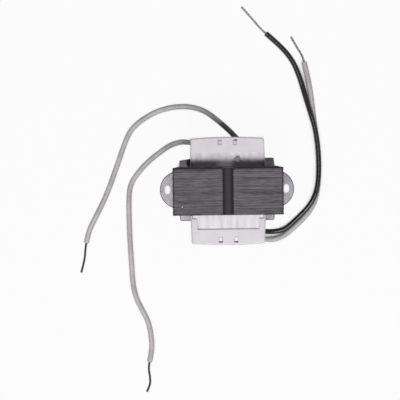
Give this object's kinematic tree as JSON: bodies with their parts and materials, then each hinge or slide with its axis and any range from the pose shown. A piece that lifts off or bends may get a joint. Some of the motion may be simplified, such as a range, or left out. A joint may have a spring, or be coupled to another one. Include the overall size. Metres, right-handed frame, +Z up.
{
  "type": "control transformer",
  "caption": "Foot-mounted control transformer with a laminated steel core, white moulded coil covers and loose stripped leads on both sides.",
  "frame": {"origin": "middle of the foot's underside, below the centre of the core", "axes": "+X along the foot from slot to slot towards the black and white leads' exit, +Y towards the secondary cover, +Z up through the core"},
  "size_m": [0.1549, 0.2465, 0.0571],
  "materials": {
    "core_steel": "thin dark varnish over sheet edges",
    "weld_metal": "varnished weld bead",
    "zinc_plate": "satin zinc plating",
    "white_nylon": "fine mould texture",
    "bobbin_nylon": "smooth moulding",
    "enamelled_copper": "enamel over drawn copper",
    "yellow_tape": "polyester film",
    "black_pvc": "satin extrusion",
    "white_pvc": "satin extrusion",
    "pale_grey_pvc": "satin extrusion",
    "tinned_copper": "twisted strands, solder dipped",
    "tinned_sleeve": "bright tin plating"
  },
  "bodies": {
    "root": {"e_laminations": "core_steel", "i_laminations": "core_steel", "yoke_weld": "weld_metal", "joint_weld_left": "weld_metal", "joint_weld_right": "weld_metal", "plate_weld_front": "weld_metal", "plate_weld_rear": "weld_metal", "mounting_plate": "zinc_plate", "bobbin": "bobbin_nylon", "primary_winding": "enamelled_copper", "secondary_winding": "enamelled_copper", "primary_tape": "yellow_tape", "secondary_tape": "yellow_tape", "primary_cover": "white_nylon", "secondary_cover": "white_nylon", "primary_lead_black": "black_pvc", "primary_lead_white": "white_pvc", "secondary_lead_rear": "pale_grey_pvc", "secondary_lead_side": "pale_grey_pvc", "primary_black_strands": "tinned_copper", "primary_white_strands": "tinned_copper", "secondary_rear_strands": "tinned_copper", "secondary_side_strands": "tinned_copper", "primary_black_splice": "tinned_sleeve", "primary_white_splice": "tinned_sleeve", "secondary_rear_splice": "tinned_sleeve", "secondary_side_splice": "tinned_sleeve"}
  },
  "joints": []
}
